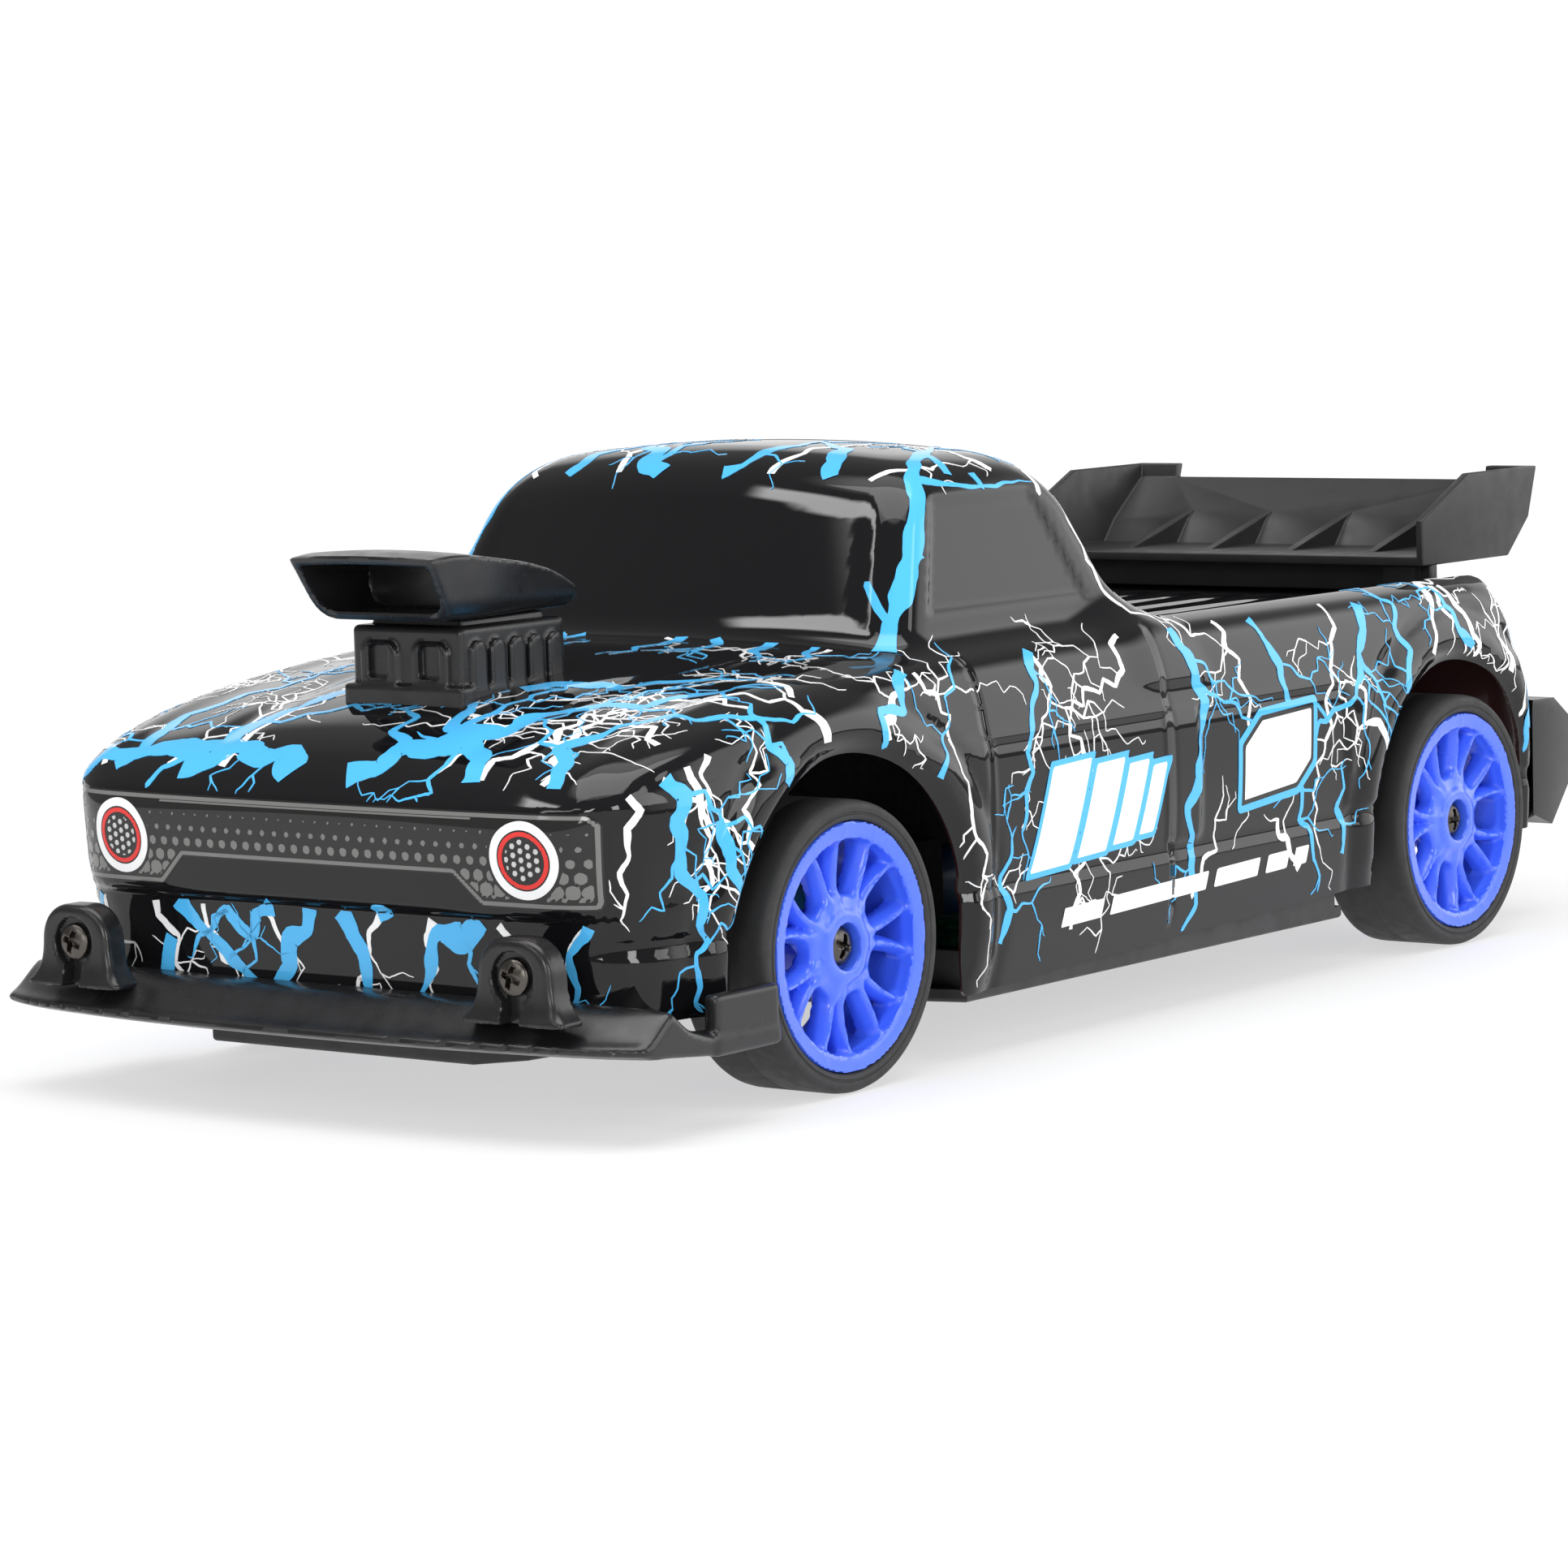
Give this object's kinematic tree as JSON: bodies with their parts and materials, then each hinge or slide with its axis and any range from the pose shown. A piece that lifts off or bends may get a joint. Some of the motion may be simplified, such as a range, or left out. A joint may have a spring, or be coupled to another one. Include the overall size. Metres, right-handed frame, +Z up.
{
  "type": "remote control car",
  "caption": "Remote control drift pickup with printed shell, hood scoop, bed wing, front splitter, steered and sprung front wheels and a geared, sprung rear axle.",
  "frame": {"origin": "on the ground plane under the middle of the overall length and width", "axes": "+Z up, +Y towards the tail (the nose points to -Y), +X towards the car's left side"},
  "size_m": [0.1228, 0.2938, 0.0918],
  "materials": {
    "painted_shell": "gloss",
    "wheel_blue": "gloss",
    "tyre_compound": "matte",
    "trim_black": "satin",
    "chassis_plastic": "satin",
    "zinc_steel": "satin",
    "gear_nylon": "satin",
    "pinion_brass": "satin",
    "cell_wrap": "gloss",
    "circuit_board": "satin",
    "switch_red": "satin",
    "bumper_black": "satin"
  },
  "bodies": {
    "chassis": {"air_scoop": "trim_black", "battery_pack": "cell_wrap", "battery_strap": "chassis_plastic", "blower_block": "trim_black", "body_post_screws": "zinc_steel", "body_posts": "chassis_plastic", "body_shell": "painted_shell", "chassis_tub": "chassis_plastic", "control_board": "circuit_board", "frame_screws": "zinc_steel", "front_bulkhead": "chassis_plastic", "front_splitter": "trim_black", "pivot_brackets": "chassis_plastic", "rear_bumper": "bumper_black", "rear_shock_tower": "chassis_plastic", "rear_wing": "trim_black", "shock_cylinders": "chassis_plastic", "splitter_screws": "zinc_steel", "steering_servo": "chassis_plastic", "switch_housing": "chassis_plastic"},
    "front_left_wheel": {"front_left_rim": "wheel_blue", "front_left_tyre": "tyre_compound", "front_left_wheel_screw": "zinc_steel"},
    "left_steering_knuckle": {"left_knuckle": "chassis_plastic"},
    "left_hub_carrier": {"left_c_hub": "chassis_plastic"},
    "left_lower_arm": {"front_left_lower_arm": "chassis_plastic"},
    "left_upper_arm": {"front_left_upper_arm": "chassis_plastic"},
    "front_left_shock": {"front_left_shock_rod": "chassis_plastic", "front_left_spring": "zinc_steel"},
    "rear_left_shock": {"rear_left_shock_rod": "chassis_plastic", "rear_left_spring": "zinc_steel"},
    "front_right_wheel": {"front_right_rim": "wheel_blue", "front_right_tyre": "tyre_compound", "front_right_wheel_screw": "zinc_steel"},
    "right_steering_knuckle": {"right_knuckle": "chassis_plastic"},
    "right_hub_carrier": {"right_c_hub": "chassis_plastic"},
    "right_lower_arm": {"front_right_lower_arm": "chassis_plastic"},
    "right_upper_arm": {"front_right_upper_arm": "chassis_plastic"},
    "front_right_shock": {"front_right_shock_rod": "chassis_plastic", "front_right_spring": "zinc_steel"},
    "rear_right_shock": {"rear_right_shock_rod": "chassis_plastic", "rear_right_spring": "zinc_steel"},
    "drive_unit": {"gearbox_housing": "chassis_plastic", "gearbox_cover": "chassis_plastic", "drive_motor": "zinc_steel"},
    "rear_wheels": {"rear_axle": "zinc_steel", "axle_gear": "gear_nylon", "rear_left_rim": "wheel_blue", "rear_left_tyre": "tyre_compound", "rear_right_rim": "wheel_blue", "rear_right_tyre": "tyre_compound", "rear_wheel_screws": "zinc_steel"},
    "pinion": {"motor_pinion": "pinion_brass"},
    "steering_horn": {"servo_horn": "chassis_plastic"},
    "steering_bar": {"steering_link": "chassis_plastic"},
    "switch_knob": {"power_switch": "switch_red"}
  },
  "joints": [
    {"name": "left_suspension", "type": "hinge", "parent": "chassis", "child": "left_lower_arm", "pos_m": [0.014, -0.0847, 0.013], "axis": [0, -1, 0], "range_deg": [-4, 4], "stiffness_Nm_per_rad": 0.6, "springref_deg": -2.58},
    {"name": "left_upper_arm_pivot", "type": "hinge", "parent": "chassis", "child": "left_upper_arm", "pos_m": [0.014, -0.0847, 0.03], "axis": [0, -1, 0], "range_deg": [-4, 4]},
    {"name": "left_hub_carrier_pivot", "type": "hinge", "parent": "left_lower_arm", "child": "left_hub_carrier", "pos_m": [0.0356, -0.0847, 0.013], "axis": [0, -1, 0], "range_deg": [-4, 4]},
    {"name": "left_steer", "type": "hinge", "parent": "left_hub_carrier", "child": "left_steering_knuckle", "pos_m": [0.0426, -0.0847, 0.0215], "axis": [0, 0, 1], "range_deg": [-22, 22]},
    {"name": "front_left_wheel_spin", "type": "hinge", "parent": "left_steering_knuckle", "child": "front_left_wheel", "pos_m": [0.0496, -0.0847, 0.0215], "axis": [1, 0, 0], "continuous": true},
    {"name": "front_left_shock_slide", "type": "slide", "parent": "chassis", "child": "front_left_shock", "axis": [0, 0, 1], "range_m": [-0.0008, 0.0008], "deforming": ["front_left_spring"]},
    {"name": "right_suspension", "type": "hinge", "parent": "chassis", "child": "right_lower_arm", "pos_m": [-0.014, -0.0847, 0.013], "axis": [0, 1, 0], "range_deg": [-4, 4], "stiffness_Nm_per_rad": 0.6, "springref_deg": -2.58},
    {"name": "right_upper_arm_pivot", "type": "hinge", "parent": "chassis", "child": "right_upper_arm", "pos_m": [-0.014, -0.0847, 0.03], "axis": [0, 1, 0], "range_deg": [-4, 4]},
    {"name": "right_hub_carrier_pivot", "type": "hinge", "parent": "right_lower_arm", "child": "right_hub_carrier", "pos_m": [-0.0356, -0.0847, 0.013], "axis": [0, 1, 0], "range_deg": [-4, 4]},
    {"name": "right_steer", "type": "hinge", "parent": "right_hub_carrier", "child": "right_steering_knuckle", "pos_m": [-0.0426, -0.0847, 0.0215], "axis": [0, 0, 1], "range_deg": [-22, 22]},
    {"name": "front_right_wheel_spin", "type": "hinge", "parent": "right_steering_knuckle", "child": "front_right_wheel", "pos_m": [-0.0496, -0.0847, 0.0215], "axis": [1, 0, 0], "continuous": true},
    {"name": "front_right_shock_slide", "type": "slide", "parent": "chassis", "child": "front_right_shock", "axis": [0, 0, 1], "range_m": [-0.0008, 0.0008], "deforming": ["front_right_spring"]},
    {"name": "servo_turn", "type": "hinge", "parent": "chassis", "child": "steering_horn", "pos_m": [0, -0.0627, 0.02], "axis": [0, 0, 1], "range_deg": [-22, 22]},
    {"name": "steering_bar_slide", "type": "slide", "parent": "chassis", "child": "steering_bar", "axis": [1, 0, 0], "range_m": [-0.0044, 0.0044]},
    {"name": "rear_suspension", "type": "hinge", "parent": "chassis", "child": "drive_unit", "pos_m": [0, 0.0546, 0.016], "axis": [1, 0, 0], "range_deg": [-2.5, 2.5], "stiffness_Nm_per_rad": 3, "springref_deg": -2.01},
    {"name": "rear_left_shock_slide", "type": "slide", "parent": "chassis", "child": "rear_left_shock", "axis": [0, 0, 1], "range_m": [-0.0022, 0.0022], "deforming": ["rear_left_spring"]},
    {"name": "rear_right_shock_slide", "type": "slide", "parent": "chassis", "child": "rear_right_shock", "axis": [0, 0, 1], "range_m": [-0.0022, 0.0022], "deforming": ["rear_right_spring"]},
    {"name": "rear_axle_spin", "type": "hinge", "parent": "drive_unit", "child": "rear_wheels", "pos_m": [0, 0.0926, 0.0215], "axis": [1, 0, 0], "continuous": true},
    {"name": "pinion_spin", "type": "hinge", "parent": "drive_unit", "child": "pinion", "pos_m": [-0.0045, 0.07918, 0.0255], "axis": [1, 0, 0], "continuous": true},
    {"name": "power_switch_slide", "type": "slide", "parent": "chassis", "child": "switch_knob", "axis": [0, 1, 0], "range_m": [-0.0015, 0.0015]}
  ],
  "couplings": [
    {"joint": "left_upper_arm_pivot", "follows": "left_suspension", "ratio": 1},
    {"joint": "left_hub_carrier_pivot", "follows": "left_suspension", "ratio": -1},
    {"joint": "front_left_shock_slide", "follows": "left_suspension", "m_per_rad": 0.011},
    {"joint": "right_upper_arm_pivot", "follows": "right_suspension", "ratio": 1},
    {"joint": "right_hub_carrier_pivot", "follows": "right_suspension", "ratio": -1},
    {"joint": "front_right_shock_slide", "follows": "right_suspension", "m_per_rad": 0.011},
    {"joint": "right_steer", "follows": "left_steer", "ratio": 1},
    {"joint": "servo_turn", "follows": "left_steer", "ratio": -1},
    {"joint": "steering_bar_slide", "follows": "left_steer", "m_per_rad": -0.011},
    {"joint": "rear_left_shock_slide", "follows": "rear_suspension", "m_per_rad": 0.048},
    {"joint": "rear_right_shock_slide", "follows": "rear_suspension", "m_per_rad": 0.048},
    {"joint": "pinion_spin", "follows": "rear_axle_spin", "ratio": -3.6667}
  ]
}
